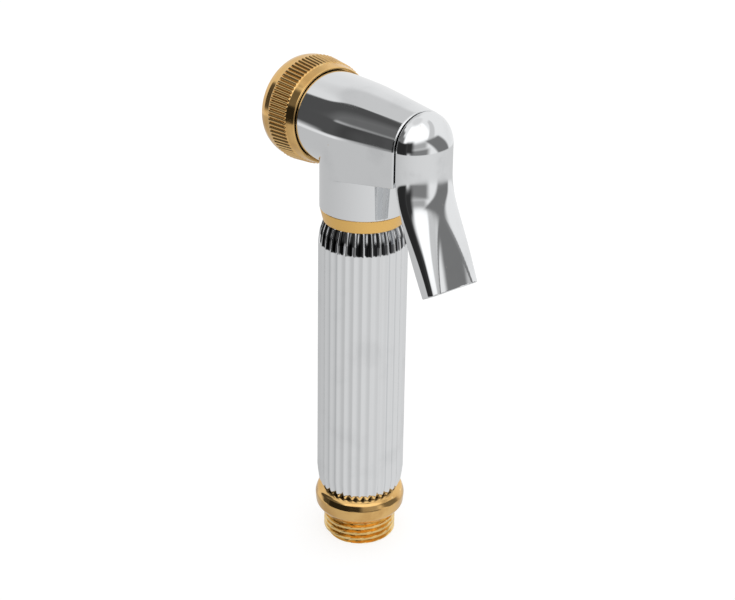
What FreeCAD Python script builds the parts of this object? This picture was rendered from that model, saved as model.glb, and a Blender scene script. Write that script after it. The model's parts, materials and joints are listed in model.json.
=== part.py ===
import FreeCAD, Part
import math
import os

# Hand-held trigger spray nozzle on a fluted handle, in millimetres.
# +Z runs up the handle, and z = 0 is the bottom end of the threaded inlet.
# Water leaves the head towards -X, and the thumb lever is on the +X side.
# Everything is symmetric about the plane y = 0.

# ---- Driving dimensions ----
INLET_THREAD_R = 20.955 / 2      # G1/2 male thread, crest radius
INLET_PITCH = 25.4 / 14          # G1/2 thread, 14 threads to the inch
HANDLE_R = 12.5                  # fluted handle, at its foot
NECK_R = 12.0                    # round neck that the head stands on
BARREL_R = 12.6                  # front half of the head's barrel
RING_R = 14.86                   # knurled spray ring, over the front of the knurl
RING_BACK_R = 14.2               # the same at the back of the knurl

RUN = 0.05                       # radial running clearance between moving round parts
SEAT = 0.02                      # radial clearance between round parts that don't move

# ---- Heights on the handle, from the inlet's end ----
Z_FIRST_CREST = 0.65
Z_RING_FOOT = 8.0
Z_SLEEVE_FOOT = 15.2
Z_SLEEVE_TOP = 98.4
Z_NECK = 102.1
Z_BARREL = 123.9                 # the barrel's and valve's axis
Z_BLOCK = 115.8                  # underside of the head at its rear face
Z_TUBE_TOP = 112.0

# ---- Places along the barrel ----
X_REAR = 22.6                    # head's rear face
X_NOSE = -22.0                   # front end of the threaded nose inside the ring
X_SHOULDER = -15.5               # where the barrel steps down to the nose
X_RING_BACK = -13.68
X_RING_FRONT = -27.9
X_KNURL_BACK = -16.4
X_KNURL_FRONT = -23.1

# ---- Rear arch of the head, which the lever's hood continues ----
ARCH_R = 9.3
Z_ARCH = 125.35

# ---- Water way ----
TUBE_R = 6.5
TUBE_BORE_R = 4.5
NIPPLE_BORE_R = 7.5
SPIGOT_R = 9.0
CHAMBER_R = 5.6
OUTLET_R = 9.0
SEAT_R = 8.0
GLAND_R = 6.6
NOSE_R = 11.5

# ---- Valve ----
STEM_R = 2.0
X_SEAT_FACE = -6.0
X_GLAND = 14.0
X_WEB = 23.6                     # front face of the lever's web
WEB_THICKNESS = 1.2
STEM_PIN_R = 1.0
STEM_PIN_HALF = 4.0
X_STEM_PIN = X_WEB + WEB_THICKNESS + 0.1 + STEM_PIN_R
X_STEM_END = 27.5

# ---- Lever ----
PIVOT_X = 25.5
PIVOT_Z = 115.2
PIVOT_R = 1.25
PIVOT_BLIND = 6.6                # the pin's blind end; its other end is flush with the far side
LUG_R = 2.1
LUG_HALF_WIDTH = 2.8
X_HOOD = 23.0                    # hood's front edge, close behind the head
HOOD_DEPTH = 6.2
HOOD_HALF_WIDTH = 9.05
HOOD_HEIGHT = 9.25               # the dome's height above Z_ARCH
LEVER_WALL = 1.4
Z_LEVER_BEND = 113.0             # the hood is above this height and the thumb plate below
LEVER_LEAN_DEG = 22.2            # how far the thumb plate leans back from vertical
Z_LEVER_END = 89.0               # lower end, at the front edges
LEVER_END_DEG = 29.0             # slope of the lower end's cut

X_AXIS = FreeCAD.Vector(1, 0, 0)
Y_AXIS = FreeCAD.Vector(0, 1, 0)
Z_AXIS = FreeCAD.Vector(0, 0, 1)
BARREL_CENTRE = FreeCAD.Vector(0, 0, Z_BARREL)
ORIGIN = FreeCAD.Vector(0, 0, 0)


# ---- Helpers ----
def vec(x, y, z):
    return FreeCAD.Vector(x, y, z)


def cyl_x(x0, x1, r):
    """Cylinder on the barrel's axis from x0 to x1."""
    return Part.makeCylinder(r, x1 - x0, vec(x0, 0, Z_BARREL), X_AXIS)


def cyl_z(z0, z1, r):
    """Cylinder on the handle's axis from z0 to z1."""
    return Part.makeCylinder(r, z1 - z0, vec(0, 0, z0), Z_AXIS)


def box(x0, x1, y0, y1, z0, z1):
    return Part.makeBox(x1 - x0, y1 - y0, z1 - z0, vec(x0, y0, z0))


def turned_z(outline):
    """Solid of revolution about the handle's axis; outline is a list of (r, z)."""
    points = [vec(r, 0, z) for r, z in outline]
    face = Part.Face(Part.makePolygon(points + points[:1]))
    return face.revolve(ORIGIN, Z_AXIS, 360)


def turned_x(outline):
    """Solid of revolution about the barrel's axis; outline is a list of (x, r)."""
    points = [vec(x, 0, Z_BARREL + r) for x, r in outline]
    face = Part.Face(Part.makePolygon(points + points[:1]))
    return face.revolve(BARREL_CENTRE, X_AXIS, 360)


def pin_y(x, z, r, half_length):
    """Cylinder across the object, centred on y = 0."""
    return Part.makeCylinder(r, 2 * half_length, vec(x, -half_length, z), Y_AXIS)


def oring_x(x, centre_r, wire_r):
    return Part.makeTorus(centre_r, wire_r, vec(x, 0, Z_BARREL), X_AXIS)


def oring_z(z, centre_r, wire_r):
    return Part.makeTorus(centre_r, wire_r, vec(0, 0, z), Z_AXIS)


def cut_all(solid, tools):
    return solid.cut(Part.makeCompound(tools))


def coil(length, mean_r, wire_r, pitch):
    """Round-wire helical spring standing on z = 0, its wire's centre from 0 to length."""
    path = Part.makeHelix(pitch, length, mean_r)
    start = Part.Wire(Part.makeCircle(wire_r, vec(mean_r, 0, 0), Y_AXIS))
    return Part.Wire(path).makePipeShell([start], True, True)


def hole_rings(spacing, rings):
    """Hole centres: one in the middle, then 6, 12, 18 ... on rings of equal spacing."""
    places = [(0.0, 0.0)]
    for ring in range(1, rings + 1):
        for step in range(6 * ring):
            turn = 2 * math.pi * step / (6 * ring)
            places.append((ring * spacing * math.cos(turn), ring * spacing * math.sin(turn)))
    return places


def smooth(t):
    t = max(0.0, min(1.0, t))
    return t * t * (3 - 2 * t)


def mix(a, b, t):
    return a + (b - a) * t


# ---- Head ----
def arch_section(x, half_width, z_centre, z_foot):
    """Arch in the plane of x: half circle on top, straight sides, flat foot."""
    left = vec(x, -half_width, z_centre)
    right = vec(x, half_width, z_centre)
    top = vec(x, 0, z_centre + half_width)
    foot_right = vec(x, half_width, z_foot)
    foot_left = vec(x, -half_width, z_foot)
    edges = [
        Part.Arc(left, top, right).toShape(),
        Part.makeLine(right, foot_right),
        Part.makeLine(foot_right, foot_left),
        Part.makeLine(foot_left, left),
    ]
    return Part.Wire(edges)


def head_shell():
    """Outside of the head: round barrel, tapering arched rear, and the neck."""
    barrel = cyl_x(X_SHOULDER, 1.0, BARREL_R)
    rear = Part.makeLoft([
        arch_section(0.0, BARREL_R, Z_BARREL, 113.0),
        arch_section(X_REAR, ARCH_R, Z_ARCH, Z_BLOCK),
    ], True, True)
    neck = cyl_z(Z_NECK, Z_BARREL, NECK_R)
    shell = barrel.fuse(neck).fuse(rear).removeSplitter()
    return shell


def pivot_lug():
    """Rib under the head's rear that holds the lever's pin."""
    rib = box(17.0, PIVOT_X, -LUG_HALF_WIDTH, LUG_HALF_WIDTH, PIVOT_Z - LUG_R, PIVOT_Z + LUG_R)
    return rib.fuse(pin_y(PIVOT_X, PIVOT_Z, LUG_R, LUG_HALF_WIDTH))


def head_body():
    solid = head_shell()
    solid = solid.fuse(cyl_x(X_NOSE, X_SHOULDER, NOSE_R)).fuse(pivot_lug())
    hollow = [
        cyl_x(X_NOSE - 1, X_SEAT_FACE - 4.0, OUTLET_R),
        cyl_x(X_SEAT_FACE - 4.5, X_SEAT_FACE, SEAT_R),
        cyl_x(X_SEAT_FACE - 0.5, X_GLAND, CHAMBER_R),
        cyl_x(X_GLAND - 0.5, X_REAR + 5, GLAND_R),
        cyl_z(Z_NECK - 1, Z_TUBE_TOP, TUBE_R + SEAT),
        cyl_z(Z_TUBE_TOP - 1, Z_BARREL, TUBE_BORE_R),
    ]
    for tool in hollow:
        solid = solid.cut(tool)
    return solid.cut(pin_y(PIVOT_X, PIVOT_Z, PIVOT_R + SEAT, 20))


# ---- Spray end ----
def spray_ring():
    """Knurled ring that screws onto the nose and clamps the spray face."""
    body = turned_x([
        (X_RING_BACK, 12.83), (X_RING_BACK - 0.5, 13.35), (X_KNURL_BACK + 0.1, 13.85), (X_KNURL_BACK, RING_BACK_R),
        (X_KNURL_FRONT, RING_R), (X_KNURL_FRONT - 0.1, 14.5), (-25.2, 14.45), (-26.6, 14.2), (-27.5, 13.7),
        (X_RING_FRONT, 13.0), (X_RING_FRONT, 10.3), (-24.6, 10.3), (-24.6, NOSE_R + RUN), (-16.0, NOSE_R + RUN),
        (-16.0, 12.83),
    ])
    grooves = []
    teeth = 76
    depth = 0.45
    half = math.pi * RING_R / teeth * 0.8
    top = Z_BARREL + RING_R
    taper = math.degrees(math.atan2(RING_R - RING_BACK_R, X_KNURL_BACK - X_KNURL_FRONT))
    for step in range(teeth):
        tri = Part.makePolygon([
            vec(X_KNURL_FRONT, -half, top + 0.1),
            vec(X_KNURL_FRONT, half, top + 0.1),
            vec(X_KNURL_FRONT, 0, top - depth),
            vec(X_KNURL_FRONT, -half, top + 0.1),
        ])
        groove = Part.Face(tri).extrude(vec(X_KNURL_BACK - X_KNURL_FRONT + 0.1, 0, 0))
        groove.rotate(vec(X_KNURL_FRONT, 0, top), Y_AXIS, taper)
        groove.rotate(BARREL_CENTRE, X_AXIS, 360.0 * step / teeth)
        grooves.append(groove)
    return cut_all(body, grooves)


def spray_face():
    """Round outlet plate with rings of small jets, held by its flange."""
    plate = turned_x([
        (-23.0, 8.6), (-23.0, NOSE_R - 0.1), (-24.6, NOSE_R - 0.1), (-24.6, 10.2), (-27.3, 10.2), (-27.7, 9.8),
        (-28.0, 6.0), (-28.05, 0), (-26.5, 0), (-26.2, 8.6),
    ])
    jets = [
        Part.makeCylinder(0.45, 4, vec(-29, y, Z_BARREL + z), X_AXIS)
        for y, z in hole_rings(2.35, 3)
    ]
    return cut_all(plate, jets)


def face_gasket():
    return cyl_x(-23.0, X_NOSE, NOSE_R - 0.1).cut(cyl_x(-24, X_NOSE + 1, 8.6))


def strainer_screen():
    disc = cyl_x(-19.8, -19.0, OUTLET_R - SEAT)
    holes = [
        Part.makeCylinder(0.6, 3, vec(-21, y, Z_BARREL + z), X_AXIS)
        for y, z in hole_rings(1.9, 4)
    ]
    return cut_all(disc, holes)


# ---- Valve ----
def valve_seat():
    return turned_x([
        (X_SEAT_FACE - 4.0, 3.4), (X_SEAT_FACE - 4.0, SEAT_R - SEAT),
        (X_SEAT_FACE - 2.9, SEAT_R - SEAT), (X_SEAT_FACE - 2.9, 6.96),
        (X_SEAT_FACE - 1.7, 6.96), (X_SEAT_FACE - 1.7, SEAT_R - SEAT),
        (X_SEAT_FACE - 0.5, SEAT_R - SEAT), (X_SEAT_FACE - 0.5, 4.4),
        (X_SEAT_FACE, 4.0), (X_SEAT_FACE, 3.4),
    ])


def seat_oring():
    return oring_x(X_SEAT_FACE - 2.3, 7.47, 0.5)


def valve_washer():
    return cyl_x(X_SEAT_FACE + 0.05, -4.0, 4.8).cut(cyl_x(-7, -3, 1.5))


def washer_screw():
    head = cyl_x(-7.4, X_SEAT_FACE + 0.05, 2.3)
    slot = box(-8, -6.9, -3, 3, Z_BARREL - 0.3, Z_BARREL + 0.3)
    return head.cut(slot).fuse(cyl_x(X_SEAT_FACE, 1.0, 1.4))


def valve_stem():
    rod = cyl_x(-4.0, X_STEM_END, STEM_R).fuse(cyl_x(-4.0, -2.6, 4.9))
    cross_hole = pin_y(X_STEM_PIN, Z_BARREL, STEM_PIN_R + SEAT, 4.0)
    return rod.cut(cyl_x(-5.0, 1.2, 1.42)).cut(cross_hole)


def valve_spring():
    wire_r = 0.45
    spring = coil(X_GLAND + 2.6 - 2 * wire_r - 0.1, 3.6, wire_r, 2.4)
    spring.rotate(ORIGIN, Y_AXIS, 90)
    spring.translate(vec(-2.6 + wire_r + 0.05, 0, Z_BARREL))
    return spring


def gland_nut():
    """Screwed plug that closes the rear of the valve and guides the stem."""
    plug = cyl_x(X_GLAND, X_REAR, GLAND_R - SEAT)
    boss = cyl_x(X_REAR, X_WEB - 0.1, 5.2)
    boss = boss.common(box(X_REAR, X_WEB, -6, 6, Z_BARREL - 4.4, Z_BARREL + 4.4))
    nut = plug.fuse(boss).cut(cyl_x(X_GLAND - 1, X_WEB + 1, STEM_R + RUN))
    outer_groove = cyl_x(15.5, 17.0, 8.0).cut(cyl_x(15.0, 17.5, 5.5))
    inner_groove = cyl_x(17.6, 19.2, 3.5)
    return nut.cut(outer_groove).cut(inner_groove)


def gland_oring():
    return oring_x(16.25, 6.05, 0.52)


def stem_oring():
    return oring_x(18.4, 2.78, 0.7)


def stem_pin():
    """Cross pin through the stem's end, behind the lever's web, that the web pulls on."""
    return pin_y(X_STEM_PIN, Z_BARREL, STEM_PIN_R, STEM_PIN_HALF)


# ---- Lever ----
def hood_half_width(z):
    """Half the lever's width at a height: it narrows towards its lower end."""
    return mix(8.4, HOOD_HALF_WIDTH, smooth((z - 86.0) / 30.0))


def lever_front(z):
    """x of the front edges: level with the hood above, leaning back below."""
    drop = max(0.0, 117.0 - z)
    return X_HOOD + 0.245 * drop + 0.0054 * drop * drop


def lever_back(z):
    """x of the back on the centre plane, before the scoop is cut; the bend is rounded."""
    lean = math.tan(math.radians(LEVER_LEAN_DEG))
    soft = 3.0
    drop = 0.5 * (Z_LEVER_BEND - z + math.sqrt((Z_LEVER_BEND - z) ** 2 + soft ** 2))
    return X_HOOD + HOOD_DEPTH + lean * (drop - 0.15)


def section_power(z):
    """The section is an ellipse in the hood and squarer towards the lower end."""
    return mix(5.0, 2.0, smooth((z - 90.0) / 24.0))


def lever_section(z, side_wall, back_wall, height, reach):
    """Closed wire at a height: half of a rounded oblong, moved in by the walls.

    Above Z_ARCH it shrinks to a dome of the given height. With a reach, straight
    sides carry on that far past the front edges.
    """
    shrink = math.sqrt(1 - (max(0.0, z - Z_ARCH) / height) ** 2)
    base = min(z, Z_ARCH)
    half = (hood_half_width(base) - side_wall) * shrink
    front = lever_front(base)
    depth = (lever_back(base) - back_wall - front) * shrink
    power = section_power(base)
    steps = 16
    points = []
    for i in range(steps + 1):
        turn = -math.pi / 2 + math.pi * i / steps
        across = math.copysign(abs(math.sin(turn)) ** (2 / power), math.sin(turn))
        along = abs(math.cos(turn)) ** (2 / power)
        points.append(vec(front + depth * along, half * across, z))
    curve = Part.BSplineCurve()
    curve.interpolate(points)
    corners = [points[-1], points[0]]
    if reach > 0:
        corners = [points[-1], vec(front - reach, half, z), vec(front - reach, -half, z), points[0]]
    edges = [curve.toShape()]
    for start, end in zip(corners, corners[1:]):
        edges.append(Part.makeLine(start, end))
    return Part.Wire(edges)


def lever_heights(height):
    """Section heights: even steps up to Z_ARCH, then even turns around the dome."""
    low = 84.0
    count = 12
    levels = [low + (Z_ARCH - low) * i / count for i in range(count + 1)]
    turns = 8
    last = math.radians(84)
    return levels + [Z_ARCH + height * math.sin(last * i / turns) for i in range(1, turns + 1)]


def lever_outside():
    sections = [lever_section(z, 0, 0, HOOD_HEIGHT, 0) for z in lever_heights(HOOD_HEIGHT)]
    return Part.makeLoft(sections, True, False)


def lever_inside():
    """The hollow, open at the front: thin walls in the hood, a thick back on the thumb plate."""
    height = HOOD_HEIGHT - LEVER_WALL
    sections = []
    for z in lever_heights(height):
        back_wall = mix(2.9, LEVER_WALL, smooth((z - 104.0) / 10.0))
        sections.append(lever_section(z, LEVER_WALL, back_wall, height, 4.0))
    return Part.makeLoft(sections, True, False)


def scoop_tool():
    """Cylinder laid along the thumb plate, sinking in towards the lower end."""
    radius = 16.0
    sink_deg = 3.9
    lean = math.radians(LEVER_LEAN_DEG - sink_deg)
    direction = vec(-math.sin(lean), 0, math.cos(lean))
    apex = vec(lever_back(Z_LEVER_BEND), 0, Z_LEVER_BEND)
    outward = vec(math.cos(lean), 0, math.sin(lean))
    start = apex + outward * radius - direction * 50
    return Part.makeCylinder(radius, 50, start, direction)


def lever_end_cut():
    """Block that trims the lower end to a slope."""
    block = box(-5, 30, -20, 20, -30, 0)
    block.rotate(ORIGIN, Y_AXIS, -LEVER_END_DEG)
    block.translate(vec(lever_front(Z_LEVER_END), 0, Z_LEVER_END))
    return block


def trigger_lever():
    inside = lever_inside()
    outside = lever_outside()
    shell = outside.cut(inside, 1e-4)
    web = box(X_WEB, X_WEB + WEB_THICKNESS, -12, 12, PIVOT_Z + 3.1, 129.5).common(outside)
    bosses = []
    for side in (-1, 1):
        foot = side * (LUG_HALF_WIDTH + 0.4)
        boss = Part.makeCylinder(LUG_R, 4.6, vec(PIVOT_X, foot, PIVOT_Z), Y_AXIS * side)
        bosses.append(boss.common(outside))
    lever = shell.fuse([web] + bosses)
    lever = lever.cut(cyl_x(X_WEB - 1, X_WEB + 3, STEM_R + 0.4))
    pin_hole = pin_y(PIVOT_X, PIVOT_Z, PIVOT_R + RUN, 12.0)
    lever = lever.cut(pin_hole.common(box(20, 30, -PIVOT_BLIND - RUN, 12, 110, 120)))
    return lever.cut(scoop_tool()).cut(lever_end_cut())


def pivot_pin():
    """Pin driven in from the +Y side until its end is flush; blind on the other side."""
    pin = pin_y(PIVOT_X, PIVOT_Z, PIVOT_R, 12.0)
    return pin.common(box(20, 30, -PIVOT_BLIND, 12, 110, 120)).common(lever_outside())


# ---- Handle ----
def top_collar():
    """Bevelled ring between the neck and the handle, with a spigot inside the handle."""
    collar = turned_z([
        (TUBE_R + 0.1, Z_SLEEVE_TOP - 3.0), (SPIGOT_R - SEAT, Z_SLEEVE_TOP - 3.0), (SPIGOT_R - SEAT, Z_SLEEVE_TOP),
        (11.0, Z_SLEEVE_TOP), (11.9, Z_NECK - 0.7), (11.9, Z_NECK), (TUBE_R + 0.1, Z_NECK),
    ])
    return collar


def handle_sleeve():
    """Fluted tube with rounded shoulders at both ends."""
    wall = turned_z([
        (SPIGOT_R, Z_SLEEVE_FOOT), (11.1, Z_SLEEVE_FOOT), (11.8, 16.2), (12.25, 17.8), (HANDLE_R, 20.5),
        (HANDLE_R - 0.2, 92.0), (12.1, 94.4), (11.6, 96.6), (10.9, Z_SLEEVE_TOP), (SPIGOT_R, Z_SLEEVE_TOP),
    ])
    flutes = []
    count = 32
    for step in range(count):
        flute = Part.makeCylinder(0.9, Z_SLEEVE_TOP - Z_SLEEVE_FOOT, vec(HANDLE_R + 0.35, 0, Z_SLEEVE_FOOT), Z_AXIS)
        flute.rotate(ORIGIN, Z_AXIS, 360.0 * (step + 0.5) / count)
        flutes.append(flute)
    return cut_all(wall, flutes)


def water_tube():
    """Inner tube that clamps the sleeve between the neck and the nipple."""
    tube = cyl_z(15.0, Z_TUBE_TOP, TUBE_R).cut(cyl_z(14, Z_TUBE_TOP + 1, TUBE_BORE_R))
    for z in (19.0, 108.5):
        tube = tube.cut(cyl_z(z - 0.8, z + 0.8, 8.0).cut(cyl_z(z - 1, z + 1, 5.3)))
    return tube


def neck_oring():
    return oring_z(108.5, 5.9, 0.58)


def nipple_oring():
    return oring_z(19.0, 5.9, 0.58)


def bottom_ring():
    """Rounded bead between the handle and the inlet thread."""
    return turned_z([
        (SPIGOT_R + SEAT, 10.0), (9.9, 10.0), (9.9, Z_RING_FOOT), (11.5, Z_RING_FOOT), (12.0, 8.6),
        (12.55, 9.7), (12.8, 11.0), (12.75, 12.2), (12.4, 13.5), (11.8, 14.5), (11.06, Z_SLEEVE_FOOT),
        (SPIGOT_R + SEAT, Z_SLEEVE_FOOT),
    ])


def inlet_nipple():
    """Threaded inlet, with the check valve's bore below and the tube's bore above."""
    root_r = INLET_THREAD_R - 0.64 * INLET_PITCH
    crest = 0.08 * INLET_PITCH
    outline = [(NIPPLE_BORE_R, 0.0), (INLET_THREAD_R - 0.45, 0.0)]
    for turn in range(4):
        z = Z_FIRST_CREST + turn * INLET_PITCH
        outline.append((INLET_THREAD_R, z - crest))
        outline.append((INLET_THREAD_R, z + crest))
        outline.append((root_r, z + 0.5 * INLET_PITCH - crest))
        outline.append((root_r, z + 0.5 * INLET_PITCH + crest))
    outline.pop()
    outline += [
        (root_r, Z_RING_FOOT), (9.85, Z_RING_FOOT), (9.85, 9.98),
        (SPIGOT_R - SEAT, 9.98), (SPIGOT_R - SEAT, 24.0), (TUBE_R + SEAT, 24.0), (TUBE_R + SEAT, 15.0),
        (TUBE_BORE_R, 15.0), (TUBE_BORE_R, 14.0), (NIPPLE_BORE_R, 14.0),
    ]
    return turned_z(outline)


# ---- Check valve and filter ----
def check_valve_body():
    case = turned_z([
        (3.8, 3.0), (NIPPLE_BORE_R - SEAT, 3.0), (NIPPLE_BORE_R - SEAT, 14.0), (1.2 + RUN, 14.0), (1.2 + RUN, 12.4),
        (5.6, 12.4), (5.6, 5.0), (3.8, 5.0),
    ])
    ports = []
    for step in range(4):
        ports.append(Part.makeCylinder(0.95, 3, vec(3.4, 0, 11.9), Z_AXIS))
        ports[-1].rotate(ORIGIN, Z_AXIS, 90.0 * step)
    return cut_all(case, ports)


def check_valve_poppet():
    return cyl_z(5.05, 6.25, 4.8).fuse(cyl_z(6.25, 13.4, 1.2))


def check_valve_spring():
    wire_r = 0.3
    spring = coil(12.4 - 6.25 - 2 * wire_r - 0.1, 2.0, wire_r, 1.4)
    spring.translate(vec(0, 0, 6.25 + wire_r + 0.05))
    return spring


def inlet_filter():
    """Perforated cup pushed into the inlet below the check valve."""
    rim = cyl_z(1.0, 3.0, NIPPLE_BORE_R - SEAT).cut(cyl_z(1.6, 3.5, 6.6))
    holes = [
        Part.makeCylinder(0.45, 3, vec(x, y, 0), Z_AXIS)
        for x, y in hole_rings(1.45, 4)
    ]
    return cut_all(rim, holes)


PIECES = [
    head_body, spray_ring, spray_face, face_gasket, strainer_screen,
    valve_seat, seat_oring, valve_washer, washer_screw, valve_stem, valve_spring,
    gland_nut, gland_oring, stem_oring, stem_pin, trigger_lever, pivot_pin,
    top_collar, handle_sleeve, water_tube, neck_oring, nipple_oring, bottom_ring,
    inlet_nipple, check_valve_body, check_valve_poppet, check_valve_spring, inlet_filter,
]

os.makedirs("parts", exist_ok=True)
for piece in PIECES:
    shape = piece()
    shape.exportStep("parts/" + piece.__name__ + ".step")
    print(piece.__name__, shape.ShapeType, len(shape.Solids), shape.isValid(), round(shape.Volume, 1))
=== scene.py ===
import json
import math

import bpy
import numpy as np
from mathutils import Matrix, Vector


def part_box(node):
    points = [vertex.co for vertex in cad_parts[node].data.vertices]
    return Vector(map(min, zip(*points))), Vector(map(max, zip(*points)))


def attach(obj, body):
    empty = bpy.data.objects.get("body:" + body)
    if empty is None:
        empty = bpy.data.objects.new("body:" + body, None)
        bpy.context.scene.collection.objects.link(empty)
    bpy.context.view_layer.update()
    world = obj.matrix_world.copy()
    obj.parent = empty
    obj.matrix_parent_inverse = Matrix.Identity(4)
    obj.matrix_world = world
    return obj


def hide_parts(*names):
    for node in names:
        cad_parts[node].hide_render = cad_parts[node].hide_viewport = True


# The visible pieces of a hand-held trigger spray nozzle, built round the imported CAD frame.
# Lengths in this file are millimetres in the frame's own axes: +Z up the handle, -X the way
# the water leaves, +X towards the thumb lever. mesh_piece() turns them into metres.

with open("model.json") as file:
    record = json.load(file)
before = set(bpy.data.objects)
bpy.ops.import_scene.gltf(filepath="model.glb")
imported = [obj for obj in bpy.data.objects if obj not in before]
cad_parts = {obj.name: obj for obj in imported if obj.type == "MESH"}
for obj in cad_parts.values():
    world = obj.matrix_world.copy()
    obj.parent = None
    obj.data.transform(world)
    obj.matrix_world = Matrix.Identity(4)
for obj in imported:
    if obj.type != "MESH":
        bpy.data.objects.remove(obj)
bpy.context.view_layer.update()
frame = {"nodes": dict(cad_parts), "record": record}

MM = 0.001


def cad(node):
    """Lowest and highest corner of a CAD node in millimetres."""
    low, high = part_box(node)
    return Vector(low) / MM, Vector(high) / MM


# ---- Places taken from the frame ----
SLEEVE_LOW, SLEEVE_HIGH = cad("handle_sleeve")
COLLAR_LOW, COLLAR_HIGH = cad("top_collar")
FOOT_LOW, FOOT_HIGH = cad("bottom_ring")
NIPPLE_HIGH = cad("inlet_nipple")[1]
RING_LOW, RING_HIGH = cad("spray_ring")
FACE_LOW, FACE_HIGH = cad("spray_face")
HEAD_LOW, HEAD_HIGH = cad("head_body")
LEVER_LOW, LEVER_HIGH = cad("trigger_lever")
GLAND_LOW, GLAND_HIGH = cad("gland_nut")
PIN_LOW, PIN_HIGH = cad("pivot_pin")
TUBE_HIGH = cad("water_tube")[1]
SEAT_LOW = cad("valve_seat")[0]

BARREL_Z = (RING_LOW.z + RING_HIGH.z) / 2
BARREL_R = HEAD_HIGH.y
NECK_Z = HEAD_LOW.z
NECK_R = 12.0
REAR_X = GLAND_HIGH.x - 0.9
REAR_HALF = 9.3
PIVOT = Vector(((PIN_LOW.x + PIN_HIGH.x) / 2, 0.0, (PIN_LOW.z + PIN_HIGH.z) / 2))
PIVOT_R = (PIN_HIGH.x - PIN_LOW.x) / 2


# ---- Mesh helpers ----
def mesh_piece(name, points, faces, body, slot, stands_for, normals=None, sharp_deg=None):
    """Makes a smooth-shaded mesh piece from millimetre points and hides the CAD nodes it stands for."""
    mesh = bpy.data.meshes.new(name)
    mesh.from_pydata((np.asarray(points) * MM).tolist(), [], np.asarray(faces).tolist())
    mesh.validate()
    mesh.shade_smooth()
    if sharp_deg is not None:
        mesh.set_sharp_from_angle(angle=math.radians(sharp_deg))
    if normals is not None:
        mesh.normals_split_custom_set_from_vertices(np.asarray(normals).tolist())
    piece = bpy.data.objects.new(name, mesh)
    bpy.context.scene.collection.objects.link(piece)
    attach(piece, body)
    paint(piece, slot)
    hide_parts(*stands_for)
    return piece


def rounded(corners, steps=6):
    """Outline through corners (a, b, radius), each corner turned into an arc of that radius."""
    outline = []
    count = len(corners)
    for i, (a, b, radius) in enumerate(corners):
        here = np.array([a, b], float)
        before = np.array(corners[i - 1][:2], float) - here
        after = np.array(corners[(i + 1) % count][:2], float) - here
        if radius <= 0:
            outline.append(here)
            continue
        len_before = np.linalg.norm(before)
        len_after = np.linalg.norm(after)
        before /= len_before
        after /= len_after
        half_turn = math.acos(np.clip(before @ after, -1, 1)) / 2
        reach = min(radius / math.tan(half_turn), 0.49 * len_before, 0.49 * len_after)
        radius = reach * math.tan(half_turn)
        bisector = (before + after) / np.linalg.norm(before + after)
        centre = here + bisector * radius / math.sin(half_turn)
        start = here + before * reach - centre
        end = here + after * reach - centre
        a0 = math.atan2(start[1], start[0])
        turn = math.remainder(math.atan2(end[1], end[0]) - a0, 2 * math.pi)
        for k in range(steps + 1):
            angle = a0 + turn * k / steps
            outline.append(centre + radius * np.array([math.cos(angle), math.sin(angle)]))
    return np.array(outline)


def divided(outline, longest):
    """The closed outline with its straight stretches cut so that no step is over the longest."""
    points = []
    for here, there in zip(outline, np.roll(outline, -1, axis=0)):
        pieces = max(1, math.ceil(np.linalg.norm(there - here) / longest))
        for k in range(pieces):
            points.append(here + (there - here) * k / pieces)
    return np.array(points)


def lathe(outline, segments, along_x=False, shape=None):
    """Points and quads of a turned piece; outline rows are (radius, place along the axis).

    shape(radius, place, angle) may change the radius of each point, for flutes, knurls and threads."""
    angle = 2 * np.pi * np.arange(segments) / segments
    radius = np.repeat(outline[:, 0][:, None], segments, axis=1)
    place = np.repeat(outline[:, 1][:, None], segments, axis=1)
    turn = np.repeat(angle[None, :], len(outline), axis=0)
    if shape is not None:
        radius = shape(radius, place, turn)
    across = radius * np.cos(turn)
    side = radius * np.sin(turn)
    if along_x:
        points = np.stack([place, across, BARREL_Z + side], axis=-1)
    else:
        points = np.stack([across, side, place], axis=-1)
    row, col = np.meshgrid(np.arange(len(outline)), np.arange(segments), indexing="ij")
    next_row = (row + 1) % len(outline)
    next_col = (col + 1) % segments
    faces = np.stack([
        row * segments + col, row * segments + next_col,
        next_row * segments + next_col, next_row * segments + col,
    ], axis=-1).reshape(-1, 4)
    area = np.sum(outline[:, 0] * np.roll(outline[:, 1], -1) - np.roll(outline[:, 0], -1) * outline[:, 1])
    if (area > 0) == along_x:
        faces = faces[:, ::-1]
    return points.reshape(-1, 3), faces


# ---- Implicit shapes: a field is negative inside and close to the distance in millimetres ----
def join(a, b, radius):
    """Union with a fillet of this radius in the corner."""
    inside = np.maximum(radius, np.minimum(a, b))
    return inside - np.hypot(np.maximum(radius - a, 0), np.maximum(radius - b, 0))


def keep(a, b, radius):
    """Intersection with its edge rounded to this radius."""
    return -join(-a, -b, radius)


def normalised(field, p, gap=0.01):
    """The field divided by its own slope, so that it reads as a distance near the surface."""
    value = field(p)
    slope = np.zeros(len(p))
    for axis in range(3):
        step = np.zeros(3)
        step[axis] = gap
        slope += ((field(p + step) - value) / gap) ** 2
    return value / np.sqrt(np.maximum(slope, 1e-6))


def gradient(field, p, gap=0.004):
    out = np.empty_like(p)
    for axis in range(3):
        step = np.zeros(3)
        step[axis] = gap
        out[:, axis] = (field(p + step) - field(p - step)) / (2 * gap)
    return out


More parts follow.
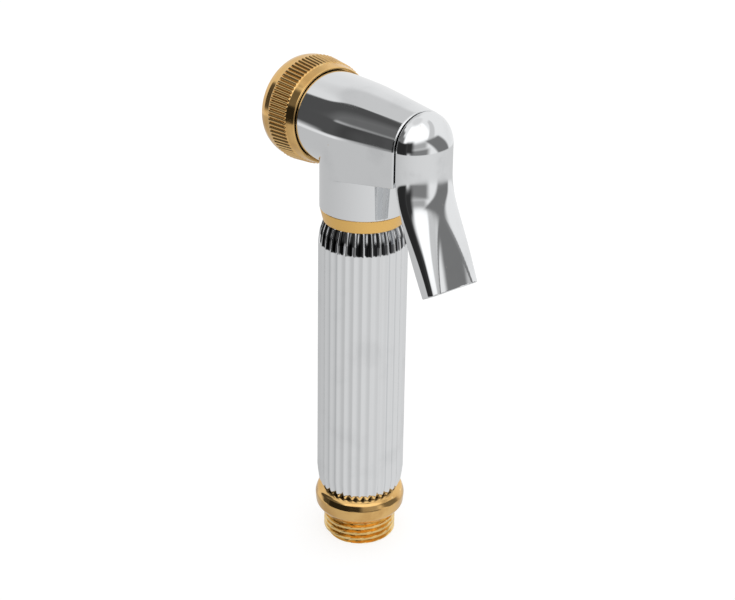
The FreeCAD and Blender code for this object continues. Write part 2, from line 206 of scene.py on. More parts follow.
def implicit_mesh(field, low, high, cell):
    """Dual-contour mesh of a field: points, quads and surface normals. Edges stay crisp."""
    low = np.asarray(low, float)
    shape = np.ceil((np.asarray(high, float) - low) / cell).astype(int) + 1
    axes = [low[i] + cell * np.arange(shape[i]) for i in range(3)]
    grid = np.stack(np.meshgrid(*axes, indexing="ij"), axis=-1)
    value = field(grid.reshape(-1, 3)).reshape(shape)
    solid = value < 0
    cells = shape - 1
    total = int(np.prod(cells))
    normal_sum = np.zeros((total, 6))
    target_sum = np.zeros((total, 3))
    centre_sum = np.zeros((total, 3))
    hits = np.zeros(total)
    quads = []
    for axis in range(3):
        first = [slice(None)] * 3
        second = [slice(None)] * 3
        first[axis] = slice(0, -1)
        second[axis] = slice(1, None)
        where = np.argwhere(solid[tuple(first)] != solid[tuple(second)])
        va = value[tuple(where.T)]
        there = where.copy()
        there[:, axis] += 1
        vb = value[tuple(there.T)]
        crossing = low + cell * where.astype(float)
        crossing[:, axis] += cell * va / (va - vb)
        normal = gradient(field, crossing)
        normal /= np.maximum(np.linalg.norm(normal, axis=1, keepdims=True), 1e-9)
        pull = np.sum(normal * crossing, axis=1)
        u, v = [i for i in range(3) if i != axis]
        corner_ids = []
        for du, dv in ((0, 0), (1, 0), (1, 1), (0, 1)):
            spot = where.copy()
            spot[:, u] -= du
            spot[:, v] -= dv
            ids = np.ravel_multi_index(np.clip(spot, 0, cells - 1).T, cells)
            corner_ids.append(ids)
            for k, (i, j) in enumerate(((0, 0), (0, 1), (0, 2), (1, 1), (1, 2), (2, 2))):
                normal_sum[:, k] += np.bincount(ids, normal[:, i] * normal[:, j], total)
            for i in range(3):
                target_sum[:, i] += np.bincount(ids, normal[:, i] * pull, total)
                centre_sum[:, i] += np.bincount(ids, crossing[:, i], total)
            hits += np.bincount(ids, minlength=total)
        quad = np.stack(corner_ids, axis=1)
        flip = (va < 0) == (axis == 1)
        quad[flip] = quad[flip][:, ::-1]
        quads.append(quad)
    quads = np.concatenate(quads)
    used = np.unique(quads)
    number = np.full(total, -1)
    number[used] = np.arange(len(used))
    centre = centre_sum[used] / hits[used][:, None]
    matrix = normal_sum[used][:, [0, 1, 2, 1, 3, 4, 2, 4, 5]].reshape(-1, 3, 3)
    stay = 0.03 * hits[used]
    matrix += stay[:, None, None] * np.eye(3)
    points = np.linalg.solve(matrix, (target_sum[used] + stay[:, None] * centre)[..., None])[..., 0]
    corner = low + cell * np.stack(np.unravel_index(used, cells), axis=1)
    points = np.clip(points, corner, corner + cell)
    for _ in range(2):
        slope = gradient(field, points)
        size = np.maximum(np.sum(slope ** 2, axis=1), 0.05)
        move = -(field(points) / size)[:, None] * slope
        points = points + np.clip(move, -0.4 * cell, 0.4 * cell)
    normals = gradient(field, points)
    normals /= np.maximum(np.linalg.norm(normals, axis=1, keepdims=True), 1e-9)
    return points, number[quads], normals


def across_x(p, r):
    """Distance from a cylinder of radius r on the barrel's axis."""
    return np.hypot(p[:, 1], p[:, 2] - BARREL_Z) - r


def across_z(p, r):
    return np.hypot(p[:, 0], p[:, 1]) - r


def span(v, low, high):
    return np.maximum(low - v, v - high)


def smooth_step(t):
    t = np.clip(t, 0.0, 1.0)
    return t * t * (3 - 2 * t)


def soft_ramp(t, softness):
    """max(t, 0) with its kink rounded."""
    return 0.5 * (t + np.sqrt(t * t + softness * softness))


# ---- Head ----
SIDE_TAPER = (BARREL_R - REAR_HALF) / REAR_X
TOP_FALL = 1.85 / REAR_X
FOOT_RISE = 0.16
BLOCK_FOOT_Z = 115.8
NOSE_R = 11.5
NOSE_X = HEAD_LOW.x
SHOULDER_X = -15.5
NOSE_PITCH = 1.5
LUG_R = 2.1
LUG_HALF = 2.8
LUG_ROOT_X = 17.0
OUTLET_BORE_R = 9.0
SEAT_BORE_R = 8.0
CHAMBER_BORE_R = 5.6
GLAND_BORE_R = 6.6
TUBE_SOCKET_R = 6.52
WATER_BORE_R = 4.5
CHAMBER_FRONT_X = -6.5
SEAT_BACK_X = -6.0


def barrel_field(p):
    """Round barrel that tapers into an arched block with a flat foot at the rear."""
    x, y, z = p.T
    taper = soft_ramp(x - 0.5, 4.0)
    half = BARREL_R - SIDE_TAPER * taper
    top = BARREL_Z + BARREL_R - TOP_FALL * taper
    centre = top - half
    round_part = np.hypot(y, z - centre) - half
    foot = BLOCK_FOOT_Z - FOOT_RISE * (REAR_X - x)
    block = keep(np.abs(y) - half, foot - z, 0.35)
    block = np.maximum(block, z - centre)
    block = np.maximum(block, -x)
    section = np.minimum(round_part, block)
    return keep(section, x - REAR_X, 0.3)


def nose_field(p):
    """Threaded nose that the spray ring screws onto."""
    x, y, z = p.T
    turn = np.arctan2(z - BARREL_Z, y) / (2 * np.pi)
    phase = (x / NOSE_PITCH + turn) % 1.0
    ridge = np.clip(1.6 * np.abs(2 * phase - 1) - 0.3, 0, 1)
    fade = smooth_step((x - NOSE_X - 0.3) / 0.8) * smooth_step((SHOULDER_X - 0.6 - x) / 0.8)
    radius = NOSE_R - 0.55 * (1 - ridge * fade)
    return keep(np.hypot(y, z - BARREL_Z) - radius, NOSE_X - x, 0.3)


def head_field(p):
    x, y, z = p.T
    barrel = keep(barrel_field(p), SHOULDER_X - x, 0.3)
    neck = keep(keep(across_z(p, NECK_R), NECK_Z - z, 0.25), z - BARREL_Z, 0.1)
    body = join(barrel, neck, 0.35)
    body = np.minimum(body, np.maximum(nose_field(p), x - SHOULDER_X - 1))
    lug = np.hypot(x - PIVOT.x, z - PIVOT.z) - LUG_R
    bar = keep(np.abs(z - PIVOT.z) - LUG_R, np.maximum(LUG_ROOT_X - x, x - PIVOT.x), 0.3)
    lug = keep(np.minimum(lug, bar), np.abs(y) - LUG_HALF, 0.3)
    body = join(body, lug, 0.5)
    hollows = [
        np.maximum(across_x(p, OUTLET_BORE_R), x - SEAT_LOW.x),
        np.maximum(across_x(p, SEAT_BORE_R), span(x, SEAT_LOW.x - 1, SEAT_BACK_X)),
        np.maximum(across_x(p, CHAMBER_BORE_R), span(x, CHAMBER_FRONT_X, GLAND_LOW.x)),
        np.maximum(across_x(p, GLAND_BORE_R), GLAND_LOW.x - x),
        np.maximum(across_z(p, TUBE_SOCKET_R), z - TUBE_HIGH.z),
        np.maximum(across_z(p, WATER_BORE_R), span(z, TUBE_HIGH.z - 1, BARREL_Z)),
        np.hypot(x - PIVOT.x, z - PIVOT.z) - (PIVOT_R + 0.02),
    ]
    for hollow in hollows:
        body = keep(body, -hollow, 0.12)
    return body


def build_head():
    low = (HEAD_LOW.x - 1, -BARREL_R - 1, HEAD_LOW.z - 1)
    high = (HEAD_HIGH.x + 1, BARREL_R + 1, HEAD_HIGH.z + 1)
    cell = 0.34
    points, faces, normals = implicit_mesh(head_field, low, high, cell)
    return mesh_piece("head_casting", points, faces, "body", "chrome", ["head_body"], normals)


# ---- Lever ----
HOOD_X = 23.0
HOOD_DEPTH = 6.2
HOOD_HALF = LEVER_HIGH.y
HOOD_HEIGHT = 9.25
HOOD_ARCH_Z = 125.35
LEVER_WALL = 1.4
STEM_POCKET_X = 28.4
BEND_Z = 113.0
LEAN = math.radians(22.2)
END_Z = 89.0
END_SLOPE = math.radians(29.0)
PLATE_HALF = 8.4
WIDENING_Z = 86.0
WIDENING_HEIGHT = 30.0
FRONT_BEND_Z = 117.0
PLATE_WALL = 2.9
WEB_BACK = 24.8
WEB_FRONT = 23.6
WEB_TOP_Z = 129.5
SCOOP_R = 16.0
SCOOP_TILT = LEAN - math.radians(3.9)
STEM_SLOT_R = 2.4
PIN_BLIND_Y = -6.65


def lever_half_width(z):
    return PLATE_HALF + (HOOD_HALF - PLATE_HALF) * smooth_step((z - WIDENING_Z) / WIDENING_HEIGHT)


def lever_front(z):
    """The front edge curves back below the hood."""
    drop = soft_ramp(FRONT_BEND_Z - z, 1.0)
    return HOOD_X + 0.245 * drop + 0.0054 * drop * drop


def lever_back(z):
    drop = soft_ramp(BEND_Z - z, 3.0)
    return HOOD_X + HOOD_DEPTH + math.tan(LEAN) * (drop - 0.15)


def lever_form(p, side_wall, back_wall):
    """The lever's rounded outside, or its hollow when it is moved in by the walls."""
    x, y, z = p.T
    half = lever_half_width(z) - side_wall
    back = lever_back(z) - back_wall
    front = lever_front(z)
    power = 5.0 - 3.0 * smooth_step((z - 90.0) / 24.0)
    u = np.abs(y) / half
    v = np.maximum(x - front, 0) / (back - front)
    w = np.maximum(z - HOOD_ARCH_Z, 0) / (HOOD_HEIGHT - side_wall)
    u = np.hypot(u, w)
    return (u ** power + v ** power) ** (1 / power) - 1


def scoop_field(p):
    """Cylinder laid along the thumb plate, sinking in towards its lower end."""
    x = p[:, 0] - lever_back(np.array([BEND_Z]))[0]
    z = p[:, 2] - BEND_Z
    outward = x * math.cos(SCOOP_TILT) + z * math.sin(SCOOP_TILT) - SCOOP_R
    along = -x * math.sin(SCOOP_TILT) + z * math.cos(SCOOP_TILT)
    return np.maximum(np.hypot(outward, p[:, 1]) - SCOOP_R, along + 1.5)


def lever_outside(p):
    return lever_form(p, 0.0, 0.0)


def lever_hollow(p):
    """The hollow leaves a thicker wall behind the scooped plate than behind the hood."""
    thicker = PLATE_WALL - LEVER_WALL
    back_wall = PLATE_WALL - thicker * smooth_step((p[:, 2] - 104.0) / 10.0)
    return lever_form(p, LEVER_WALL, back_wall)


def lever_field(p):
    """Hooded lever: hollow shell with an inside web, pin bosses, a slot for the stem and a scoop."""
    x, y, z = p.T
    outside = normalised(lever_outside, p)
    hollow = normalised(lever_hollow, p)
    front = (lever_front(z) - x) * math.cos(LEAN / 2)
    shell = keep(keep(outside, -hollow, 0.2), front, 0.4)
    web = keep(span(x, WEB_FRONT, WEB_BACK), np.maximum(PIVOT.z + 3.1 - z, z - WEB_TOP_Z), 0.2)
    web = np.maximum(web, hollow - 0.5)
    bosses = keep(np.hypot(x - PIVOT.x, z - PIVOT.z) - LUG_R, 3.2 - np.abs(y), 0.2)
    bosses = np.maximum(bosses, outside + 0.3)
    lever = join(shell, np.minimum(web, bosses), 0.3)
    pin = np.maximum(np.hypot(x - PIVOT.x, z - PIVOT.z) - (PIVOT_R + 0.05), PIN_BLIND_Y - y)
    lever = keep(lever, -pin, 0.1)
    stem_slot = np.hypot(y, np.maximum(np.abs(z - BARREL_Z) - 0.7, 0)) - STEM_SLOT_R
    lever = np.maximum(lever, -np.maximum(stem_slot, x - STEM_POCKET_X))
    lever = keep(lever, -scoop_field(p), 0.12)
    end_x = lever_front(np.array([END_Z]))[0]
    end = (END_Z - z) * math.cos(END_SLOPE) + (x - end_x) * math.sin(END_SLOPE)
    return keep(lever, end, 0.3)


def build_lever():
    low = (LEVER_LOW.x - 1, LEVER_LOW.y - 1, LEVER_LOW.z - 1)
    high = (LEVER_HIGH.x + 1, LEVER_HIGH.y + 1, LEVER_HIGH.z + 1)
    cell = 0.26
    points, faces, normals = implicit_mesh(lever_field, low, high, cell)
    return mesh_piece("thumb_lever", points, faces, "lever", "chrome", ["trigger_lever"], normals)


# ---- Spray end ----
KNURL_TEETH = 76
KNURL_BACK = -16.4
KNURL_FRONT = -23.1


def knurl(radius, place, turn):
    """Straight knurl: rounded crests between sharp valleys, fading out at both ends of its band."""
    wave = 1 - np.abs(np.sin(KNURL_TEETH / 2 * turn)) ** 0.8
    band = smooth_step((KNURL_BACK + 0.05 - place) / 0.35) * smooth_step((place - KNURL_FRONT) / 0.25)
    outer = radius > 13.5
    return radius - np.where(outer, 0.5 * wave * band, 0)


def build_ring():
    radius = RING_HIGH.y
    back = RING_HIGH.x
    front = RING_LOW.x
    corners = [
        (12.83, back, 0.12), (13.3, back - 0.15, 0.25), (13.85, KNURL_BACK + 0.12, 0.1),
        (14.2, KNURL_BACK - 0.15, 0.2), (radius, KNURL_FRONT + 0.2, 0.2), (14.6, KNURL_FRONT - 0.05, 0.05),
        (14.55, KNURL_FRONT - 0.25, 0.1), (14.5, -25.2, 1.5), (14.1, -26.8, 1.2), (13.1, front, 0.8),
        (10.3, front, 0.3), (10.3, -24.6, 0), (11.55, -24.6, 0), (11.55, -16.0, 0), (12.83, -16.0, 0),
    ]
    outline = divided(rounded(corners), 0.5)
    points, faces = lathe(outline, KNURL_TEETH * (10), along_x=True, shape=knurl)
    return mesh_piece("knurled_ring", points, faces, "ring", "gold", ["spray_ring"], sharp_deg=40)


def jet_places(spacing, rings):
    places = [(0.0, 0.0)]
    for ring in range(1, rings + 1):
        for step in range(6 * ring):
            turn = 2 * math.pi * step / (6 * ring)
            places.append((ring * spacing * math.cos(turn), ring * spacing * math.sin(turn)))
    return places


def face_field(p):
    """Domed outlet plate with a flange, a shallow groove and countersunk jets."""
    x = p[:, 0]
    radius = np.hypot(p[:, 1], p[:, 2] - BARREL_Z)
    dome = FACE_LOW.x + 0.0045 * radius ** 2 - x
    cap = keep(radius - 10.2, dome, 0.5)
    flange = keep(radius - 11.4, -24.6 - x, 0.15)
    solid = np.maximum(np.minimum(np.maximum(cap, x + 24.0), flange), x + 23.0)
    solid = np.maximum(solid, -np.maximum(radius - 8.6, -26.4 - x))
    groove = np.hypot(radius - 9.0, dome) - 0.3
    solid = keep(solid, -groove, 0.08)
    for y, z in jet_places(2.35, 3):
        off = np.hypot(p[:, 1] - y, p[:, 2] - BARREL_Z - z)
        nub = np.hypot(off, 2.2 * np.maximum(dome, 0)) - 0.95
        solid = join(solid, np.maximum(nub, x + 26.5), 0.15)
    for y, z in jet_places(2.35, 3):
        off = np.hypot(p[:, 1] - y, p[:, 2] - BARREL_Z - z)
        solid = keep(solid, 0.42 - off, 0.06)
    return solid


def build_face():
    low = (FACE_LOW.x - 0.8, FACE_LOW.y - 0.5, FACE_LOW.z - 0.5)
    high = (FACE_HIGH.x + 0.5, FACE_HIGH.y + 0.5, FACE_HIGH.z + 0.5)
    cell = 0.19
    points, faces, normals = implicit_mesh(face_field, low, high, cell)
    return mesh_piece("jet_plate", points, faces, "face", "steel", ["spray_face"], normals)


# ---- Handle ----
HANDLE_R = 12.5
SLEEVE_BORE_R = 9.0
FLUTES = 32
FLUTE_DEPTH = 0.5


def flute(radius, place, turn):
    """Concave flutes between narrow ridges, cut to an even depth right over both shoulders."""
    wave = (0.5 + 0.5 * np.cos(FLUTES * turn)) ** 0.65
    return radius - np.where(radius > 9.5, FLUTE_DEPTH * wave, 0)


def build_sleeve():
    foot = SLEEVE_LOW.z
    top = SLEEVE_HIGH.z
    corners = [
        (SLEEVE_BORE_R, foot, 0), (11.1, foot, 0.3), (12.0, foot + 1.9, 3.0), (HANDLE_R, foot + 5.6, 8.0),
        (HANDLE_R - 0.2, top - 6.4, 9.0), (11.95, top - 3.2, 8.0), (10.9, top, 0.25), (SLEEVE_BORE_R, top, 0),
    ]
    outline = divided(rounded(corners, 10), 1.2)
    points, faces = lathe(outline, FLUTES * (18), shape=flute)
    sleeve = mesh_piece("fluted_sleeve", points, faces, "body", "chrome", ["handle_sleeve"], sharp_deg=50)
    # the sleeve's chrome has painted shade in its flutes, under the collar and at the foot
    paint(sleeve, "fluted_chrome_painted_shade")
    return sleeve


def build_collar():
    foot = SLEEVE_HIGH.z
    top = COLLAR_HIGH.z
    corners = [
        (6.6, COLLAR_LOW.z, 0), (8.98, COLLAR_LOW.z, 0.2), (8.98, foot, 0), (10.98, foot, 0.15),
        (11.75, top - 0.75, 0.5), (11.9, top - 0.1, 0.1), (11.75, top, 0.1), (6.6, top, 0),
    ]
    points, faces = lathe(divided(rounded(corners), 0.6), 320)
    return mesh_piece("gold_collar", points, faces, "body", "gold_satin", ["top_collar"], sharp_deg=35)


def build_foot_ring():
    foot = FOOT_LOW.z
    top = FOOT_HIGH.z
    corners = [
        (9.02, 10.0, 0), (9.9, 10.0, 0), (9.9, foot, 0.1), (11.75, foot, 0.5), (12.8, 9.4, 1.6),
        (13.05, 12.4, 3.2), (12.3, 14.6, 2.2), (10.9, top, 0.3), (9.02, top, 0),
    ]
    points, faces = lathe(divided(rounded(corners, 10), 0.5), 320)
    return mesh_piece("foot_ring", points, faces, "body", "gold", ["bottom_ring"], sharp_deg=35)


THREAD_PITCH = 25.4 / 14
THREAD_DEPTH = 0.64 * THREAD_PITCH


def inlet_thread(radius, place, turn):
    """One helical G1/2 thread between the end chamfer and the relief under the ring."""
    phase = (place / THREAD_PITCH - turn / (2 * np.pi)) % 1.0
    ridge = np.clip(2.3 * np.abs(2 * phase - 1) - 0.6, 0, 1)
    ridge = smooth_step(ridge)
    chamfer = smooth_step((place + 0.9) / 1.3)
    runout = smooth_step((7.4 - place) / 0.8)
    threaded = (radius > 9.1) & (place < 7.6)
    return radius + np.where(threaded, THREAD_DEPTH * ridge * chamfer * runout, 0)


def build_nipple():
    crest = NIPPLE_HIGH.y
    root = crest - THREAD_DEPTH
    top = NIPPLE_HIGH.z
    thread_rows = [(root, z) for z in np.arange(0.0, 7.7, 0.11)]
    outline = [(7.5, 0.25), (7.75, 0.0), (9.0, 0.0)] + thread_rows + [
        (root, 8.0), (9.85, 8.0), (9.85, 9.98), (8.98, 9.98), (8.98, top), (6.52, top), (6.52, 15.0),
        (4.5, 15.0), (4.5, 14.0), (7.5, 14.0),
    ]
    outline = np.array(outline, float)
    points, faces = lathe(outline, 240, shape=inlet_thread)
    nipple = mesh_piece("threaded_inlet", points, faces, "body", "gold", ["inlet_nipple"], sharp_deg=45)
    paint(nipple, "thread_gold")
    return nipple


# ---- Node helpers: an argument may be a number, a colour or another node's output ----
class Net:
    """Builds a node tree; each method adds a node and returns its output."""

    def __init__(self, tree):
        self.tree = tree
        tree.nodes.clear()

    def add(self, kind, **settings):
        node = self.tree.nodes.new(kind)
        for name, value in settings.items():
            setattr(node, name, value)
        return node

    def feed(self, socket, source):
        if isinstance(source, bpy.types.NodeSocket):
            self.tree.links.new(source, socket)
        else:
            socket.default_value = source

    def math(self, operation, a, b=0.0):
        node = self.add("ShaderNodeMath", operation=operation)
        self.feed(node.inputs[0], a)
        self.feed(node.inputs[1], b)
        return node.outputs[0]

    def step(self, value, low, high):
        """0 below low, 1 above high and smooth between; low may be the larger one."""
        node = self.add("ShaderNodeMapRange", interpolation_type="SMOOTHSTEP")
        rising = low <= high
        self.feed(node.inputs["Value"], value)
        self.feed(node.inputs["From Min"], low if rising else high)
        self.feed(node.inputs["From Max"], high if rising else low)
        self.feed(node.inputs["To Min"], 0.0 if rising else 1.0)
        self.feed(node.inputs["To Max"], 1.0 if rising else 0.0)
        return node.outputs["Result"]

    def band(self, value, low, high, soft):
        rise = self.step(value, low - soft, low + soft)
        return self.math("MULTIPLY", rise, self.step(value, high + soft, high - soft))

    def mix(self, a, b, factor):
        node = self.add("ShaderNodeMix", data_type="FLOAT")
        self.feed(node.inputs["Factor"], factor)
        self.feed(node.inputs["A"], a)
        self.feed(node.inputs["B"], b)
        return node.outputs["Result"]

    def tint(self, a, b, factor):
        node = self.add("ShaderNodeMix", data_type="RGBA")
        self.feed(node.inputs["Factor"], factor)
        self.feed(node.inputs[6], a)
        self.feed(node.inputs[7], b)
        return node.outputs[2]

    def noise(self, scale, detail=3.0, stretch=(1, 1, 1)):
        """Noise over the piece in cycles per metre, stretched along the axes."""
        place = self.add("ShaderNodeTexCoord").outputs["Object"]
        mapping = self.add("ShaderNodeMapping")
        mapping.inputs["Scale"].default_value = stretch
        self.feed(mapping.inputs["Vector"], place)
        node = self.add("ShaderNodeTexNoise")
        self.feed(node.inputs["Vector"], mapping.outputs["Vector"])
        node.inputs["Scale"].default_value = scale
        node.inputs["Detail"].default_value = detail
        return node.outputs["Fac"]

    def place(self):
        """The three coordinates over the piece, in metres."""
        split = self.add("ShaderNodeSeparateXYZ")
        self.feed(split.inputs[0], self.add("ShaderNodeTexCoord").outputs["Object"])
        return split.outputs

    def bump(self, height, depth_mm, normal=None):
        node = self.add("ShaderNodeBump")
        node.inputs["Distance"].default_value = depth_mm * MM
        self.feed(node.inputs["Height"], height)
        if normal is not None:
            self.feed(node.inputs["Normal"], normal)
        return node.outputs["Normal"]

    def edges(self, low, high):
        """1 along convex edges, from the mesh's own curvature."""
        return self.step(self.add("ShaderNodeNewGeometry").outputs["Pointiness"], low, high)


def finish(name, build):
    """A material whose surface is set up by build(net, principled)."""
    material = bpy.data.materials.new(name)
    material.use_nodes = True
    net = Net(material.node_tree)
    surface = net.add("ShaderNodeBsdfPrincipled")
    out = net.add("ShaderNodeOutputMaterial")
    net.feed(out.inputs["Surface"], surface.outputs["BSDF"])
    build(net, surface)
    return material


# ---- Finishes ----
def chrome(net, surface):
    """Bright plating: faint waves and polishing marks, cloudy smudges, edges worn a little duller."""
    smudge = net.step(net.noise(90.0, 5.0), 0.50, 0.72)
    worn = net.math("MULTIPLY", net.edges(0.53, 0.62), net.step(net.noise(700.0), 0.35, 0.65))
    clean = (0.80, 0.81, 0.82, 1.0)
    dull = (0.62, 0.63, 0.64, 1.0)
    brass = (0.66, 0.60, 0.50, 1.0)
    colour = net.tint(clean, dull, net.math("MULTIPLY", smudge, 0.25))
    net.feed(surface.inputs["Base Color"], net.tint(colour, brass, net.math("MULTIPLY", worn, 0.35)))
    rough = net.mix(0.035, 0.11, smudge)
    net.feed(surface.inputs["Roughness"], net.mix(rough, 0.22, worn))
    net.feed(surface.inputs["Metallic"], 1.0)
    waves = net.bump(net.noise(130.0, 1.0), 0.012)
    marks = net.bump(net.noise(900.0, 2.0, (6, 6, 0.3)), 0.0006, waves)
    net.feed(surface.inputs["Normal"], marks)


def fluted_chrome_painted_shade(net, surface):
    """Chrome with painted shade: under the collar the flute hollows are painted dark, ending in rounded
    petals and lighter towards one side of each flute, with a gleam near the collar left unpainted; a painted
    dark band runs round the foot.
    """
    chrome(net, surface)
    x, y, z = net.place()
    turn = net.math("MULTIPLY", net.math("ARCTAN2", y, x), float(FLUTES))
    hollow = net.math("COSINE", turn)
    side = net.math("SINE", turn)
    below = net.math("MULTIPLY", net.math("SUBTRACT", SLEEVE_HIGH.z * MM, z), 1 / MM)
    above = net.math("MULTIPLY", net.math("SUBTRACT", z, SLEEVE_LOW.z * MM), 1 / MM)
    # painted shade: the flute hollows within about 6 mm of the collar are painted dark, the painted dark
    # ending in rounded petals
    petal_painted_shade = net.step(net.math("SUBTRACT", below, net.math("MULTIPLY", hollow, 0.4)), 6.3, 5.8)
    # painted shade: a dark band painted round the sleeve just above its foot, reaching higher in the flute
    # hollows
    foot = net.step(net.math("SUBTRACT", above, net.math("MULTIPLY", hollow, 0.7)), 1.1, 0.6)
    # the gleam is a bright spot in the hollows just under the collar that is left out of the painted shade
    gleam = net.math("MULTIPLY", net.band(below, 0.5, 2.7, 0.7), net.step(hollow, 0.1, 0.75))
    inside = net.math("MULTIPLY", net.step(hollow, -0.75, -0.3), net.math("SUBTRACT", 1.0, gleam))
    # the whole painted shade mask: the petals in the hollows under the collar and the band at the foot
    dark = net.math("MAXIMUM", net.math("MULTIPLY", petal_painted_shade, inside), foot)
    # the painted shade goes from near black to dark grey across each flute, lighter on one side
    shade = net.tint((0.03, 0.03, 0.032, 1.0), (0.26, 0.265, 0.28, 1.0), net.step(side, 0.35, 1.0))
    clean = surface.inputs["Base Color"].links[0].from_socket
    net.feed(surface.inputs["Base Color"], net.tint(clean, shade, dark))


def plated(bright, patchy, worn_tone, rough):
    """Polished gold-coloured plating in two tones, paler on worn edges."""
    def build(net, surface):
        patch = net.step(net.noise(160.0, 4.0), 0.42, 0.66)
        worn = net.edges(0.52, 0.60)
        colour = net.tint(bright, patchy, patch)
        colour = net.tint(colour, worn_tone, net.math("MULTIPLY", worn, 0.6))
        net.feed(surface.inputs["Base Color"], colour)
        net.feed(surface.inputs["Roughness"], net.mix(net.mix(rough, rough + 0.09, patch), 0.24, worn))
        net.feed(surface.inputs["Metallic"], 1.0)
        grain = net.bump(net.noise(2600.0, 2.0), 0.0016)
        net.feed(surface.inputs["Normal"], net.bump(net.noise(220.0, 1.0), 0.006, grain))
    return build


def satin_gold(net, surface):
    """Satin gold-coloured plating with fine lines from turning."""
    lines = net.noise(5.0, 2.0, (1, 1, 1800))
    worn = net.edges(0.52, 0.60)
    colour = net.tint((0.97, 0.61, 0.20, 1.0), (0.90, 0.55, 0.17, 1.0), lines)
    colour = net.tint(colour, (0.95, 0.74, 0.42, 1.0), net.math("MULTIPLY", worn, 0.5))
    net.feed(surface.inputs["Base Color"], colour)
    net.feed(surface.inputs["Roughness"], net.mix(net.mix(0.26, 0.38, lines), 0.2, worn))
    net.feed(surface.inputs["Metallic"], 1.0)
    net.feed(surface.inputs["Normal"], net.bump(lines, 0.002))


def machined(dark, light, rough):
    """Turned metal in a lighter and a darker tone, with tool lines and bright worn edges."""
    def build(net, surface):
        lines = net.noise(9.0, 2.0, (160, 160, 160))
        worn = net.edges(0.52, 0.60)
        colour = net.tint(dark, light, lines)
        colour = net.tint(colour, (0.9, 0.88, 0.84, 1.0), net.math("MULTIPLY", worn, 0.3))
        net.feed(surface.inputs["Base Color"], colour)
        net.feed(surface.inputs["Roughness"], net.mix(net.mix(rough, rough + 0.12, lines), rough * 0.7, worn))
        net.feed(surface.inputs["Metallic"], 1.0)
        net.feed(surface.inputs["Normal"], net.bump(lines, 0.003))
    return build


def rubber(net, surface):
    """Matt black rubber with a fine grain, greyer where its edges rub."""
    grain = net.noise(1800.0, 3.0)
    worn = net.edges(0.52, 0.62)
    colour = net.tint((0.018, 0.018, 0.02, 1.0), (0.04, 0.04, 0.042, 1.0), grain)
    net.feed(surface.inputs["Base Color"], net.tint(colour, (0.10, 0.10, 0.10, 1.0), worn))
    net.feed(surface.inputs["Roughness"], net.mix(0.62, 0.85, grain))
    net.feed(surface.inputs["Normal"], net.bump(grain, 0.02))


def white_plastic(net, surface):
    """Moulded white plastic with a slight orange peel and rubbed edges."""
    peel = net.noise(1500.0, 2.0)
    worn = net.edges(0.52, 0.62)
    colour = net.tint((0.83, 0.83, 0.80, 1.0), (0.76, 0.76, 0.73, 1.0), peel)
    net.feed(surface.inputs["Base Color"], net.tint(colour, (0.70, 0.69, 0.66, 1.0), worn))
    net.feed(surface.inputs["Roughness"], net.mix(0.34, 0.5, peel))
    net.feed(surface.inputs["Normal"], net.bump(peel, 0.01))


POLISHED_GOLD = plated((0.82, 0.52, 0.20, 1.0), (0.70, 0.42, 0.15, 1.0), (0.95, 0.72, 0.36, 1.0), 0.09)
THREAD_GOLD = plated((0.90, 0.65, 0.29, 1.0), (0.82, 0.56, 0.22, 1.0), (1.0, 0.80, 0.42, 1.0), 0.12)
BRASS = machined((0.62, 0.44, 0.17, 1.0), (0.78, 0.58, 0.26, 1.0), 0.22)
STEEL = machined((0.50, 0.50, 0.51, 1.0), (0.66, 0.66, 0.67, 1.0), 0.2)
FINISHES = {
    "chrome": finish("chrome", chrome),
    # chrome with painted shade in the sleeve's flutes
    "fluted_chrome_painted_shade": finish("fluted_chrome_painted_shade", fluted_chrome_painted_shade),
    "gold": finish("gold", POLISHED_GOLD),
    "thread_gold": finish("thread_gold", THREAD_GOLD),
    "gold_satin": finish("gold_satin", satin_gold),
    "brass": finish("brass", BRASS),
    "steel": finish("steel", STEEL),
    "rubber": finish("rubber", rubber),
    "white_plastic": finish("white_plastic", white_plastic),
}


def paint(obj, slot):
    """Gives an object its finish, on a slot of its own if it has none."""
    if not obj.material_slots:
        obj.data.materials.append(FINISHES[slot])
    for place in obj.material_slots:
        place.material = FINISHES[slot]


def paint_cad_nodes():
    for part in frame["record"]["subparts"]:
        paint(frame["nodes"][part["node"]], part["material_slot"])


# ---- Camera, floor and light ----
# The studio round the object, later cards over earlier ones. Each row is the card's radiance,
# its azimuths and elevations in degrees, how soft its sides and its top and bottom are, and how
# far its sides lean in degrees of azimuth per degree above elevation 9.
CARDS = (
    (0.68, (-210, -150), (42, 62), 10, 4, 0),         # far wall, both ends of the azimuth range
    (0.68, (140, 210), (42, 62), 10, 4, 0),
    (0.80, (-200, 200), (74, 95), 5, 5, 0),           # ceiling
    (1.30, (-82, 22), (15, 68), 7, 6, 0),             # window
    (0.68, (8, 28), (6, 56), 4, 5, 0.75),             # its frame
    (0.45, (-46, 8), (-4, 11), 7, 5, 0),              # wall and skirting under the window
    (0.24, (-46, 14), (-25, -5), 8, 4, 0),
    (0.21, (8, 46), (-25, 12), 4.5, 3.5, -1.2),       # door
    (0.085, (-154, -131), (-9, 50), 1.5, 3, 0),       # dark board and its lighter end
    (0.16, (-136, -100), (14, 44), 6, 5, 0),
    (0.20, (-118, -84), (12, 32), 8, 6, 0),
    (0.085, (-140, -120), (-13, 13), 5, 2, 0),
    (0.025, (-124, -58), (-25, 15), 6, 3, 0),         # black cloth under and beside the window
    (0.035, (-66, -34), (-14, 18), 9, 6, 0),
)


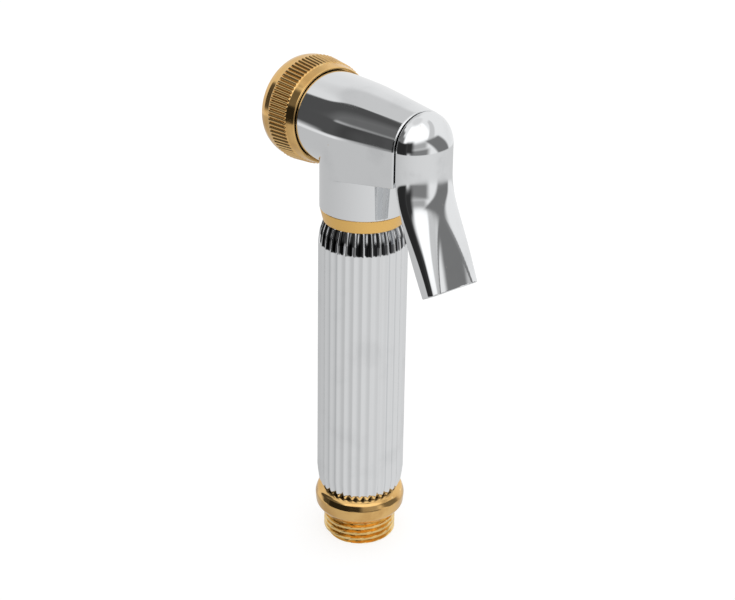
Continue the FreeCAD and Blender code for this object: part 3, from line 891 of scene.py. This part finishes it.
def light_studio():
    """World light by direction: a soft window with its frame, pale walls, dark boards and a pale floor."""
    world = bpy.data.worlds.new("studio")
    bpy.context.scene.world = world
    world.use_nodes = True
    net = Net(world.node_tree)
    split = net.add("ShaderNodeSeparateXYZ")
    net.feed(split.inputs[0], net.add("ShaderNodeTexCoord").outputs["Generated"])
    x, y, z = split.outputs
    azimuth = net.math("DEGREES", net.math("ARCTAN2", y, x))
    elevation = net.math("DEGREES", net.math("ARCSINE", z))
    level = net.mix(0.95, 0.85, net.step(net.math("ABSOLUTE", azimuth), 120.0, 150.0))
    for radiance, across, up, soft_across, soft_up, lean in CARDS:
        shift = net.math("MULTIPLY", net.math("SUBTRACT", elevation, 9.0), lean)
        side = net.band(net.math("SUBTRACT", azimuth, shift), across[0], across[1], soft_across)
        mask = net.math("MULTIPLY", side, net.band(elevation, up[0], up[1], soft_up))
        level = net.mix(level, radiance, mask)
    turn = net.math("COSINE", net.math("RADIANS", net.math("SUBTRACT", azimuth, 20.0)))
    floor = net.math("ADD", net.math("MULTIPLY", turn, 0.10), 0.70)
    level = net.mix(level, floor, net.step(elevation, -16.5, -18.8))
    seen = net.add("ShaderNodeLightPath").outputs["Is Camera Ray"]
    background = net.add("ShaderNodeBackground")
    net.feed(background.inputs["Color"], (1.0, 1.0, 1.0, 1.0))
    net.feed(background.inputs["Strength"], net.mix(level, 1.0, seen))
    out = net.add("ShaderNodeOutputWorld")
    net.feed(out.inputs["Surface"], background.outputs["Background"])


def lay_floor():
    """Plain pale floor just under the inlet, lit so that only a faint shadow shows on it."""
    half = 6.0
    corners = [(-half, -half, 0.0), (half, -half, 0.0), (half, half, 0.0), (-half, half, 0.0)]
    mesh = bpy.data.meshes.new("floor")
    mesh.from_pydata(corners, [], [(0, 1, 2, 3)])
    floor = bpy.data.objects.new("floor", mesh)
    floor.location.z = -0.0004
    floor.visible_glossy = False
    bpy.context.scene.collection.objects.link(floor)

    def build(net, surface):
        grain = net.noise(40.0, 2.0)
        colour = net.tint((0.30, 0.30, 0.30, 1.0), (0.31, 0.31, 0.31, 1.0), grain)
        net.feed(surface.inputs["Base Color"], colour)
        net.feed(surface.inputs["Roughness"], 0.9)
        net.feed(surface.inputs["Emission Color"], (1.0, 1.0, 1.0, 1.0))
        net.feed(surface.inputs["Emission Strength"], 0.76)

    floor.data.materials.append(finish("floor", build))


CAMERA_PLACE = (0.2907, -0.2399, 0.25055)
CAMERA_AZIMUTH = math.radians(50.25)
CAMERA_ELEVATION = math.radians(25.1)
CAMERA_ROLL = math.radians(0.89)
CAMERA_LENS_MM = 73.3


def place_camera():
    """Camera to the lever's side of the object, looking down at it."""
    back = Vector((
        math.sin(CAMERA_AZIMUTH) * math.cos(CAMERA_ELEVATION),
        -math.cos(CAMERA_AZIMUTH) * math.cos(CAMERA_ELEVATION),
        math.sin(CAMERA_ELEVATION),
    ))
    level_right = (-back).cross(Vector((0, 0, 1))).normalized()
    level_up = level_right.cross(-back)
    right = math.cos(CAMERA_ROLL) * level_right + math.sin(CAMERA_ROLL) * level_up
    up = right.cross(-back)
    data = bpy.data.cameras.new("camera")
    data.lens = CAMERA_LENS_MM
    data.sensor_width = 36.0
    camera = bpy.data.objects.new("camera", data)
    matrix = Matrix((right, up, back)).transposed().to_4x4()
    matrix.translation = Vector(CAMERA_PLACE)
    camera.matrix_world = matrix
    bpy.context.scene.collection.objects.link(camera)
    bpy.context.scene.camera = camera


build_head()
build_lever()
build_ring()
build_face()
build_sleeve()
build_collar()
build_foot_ring()
build_nipple()
paint_cad_nodes()
lay_floor()
light_studio()
place_camera()
bpy.context.scene.view_settings.view_transform = "Standard"
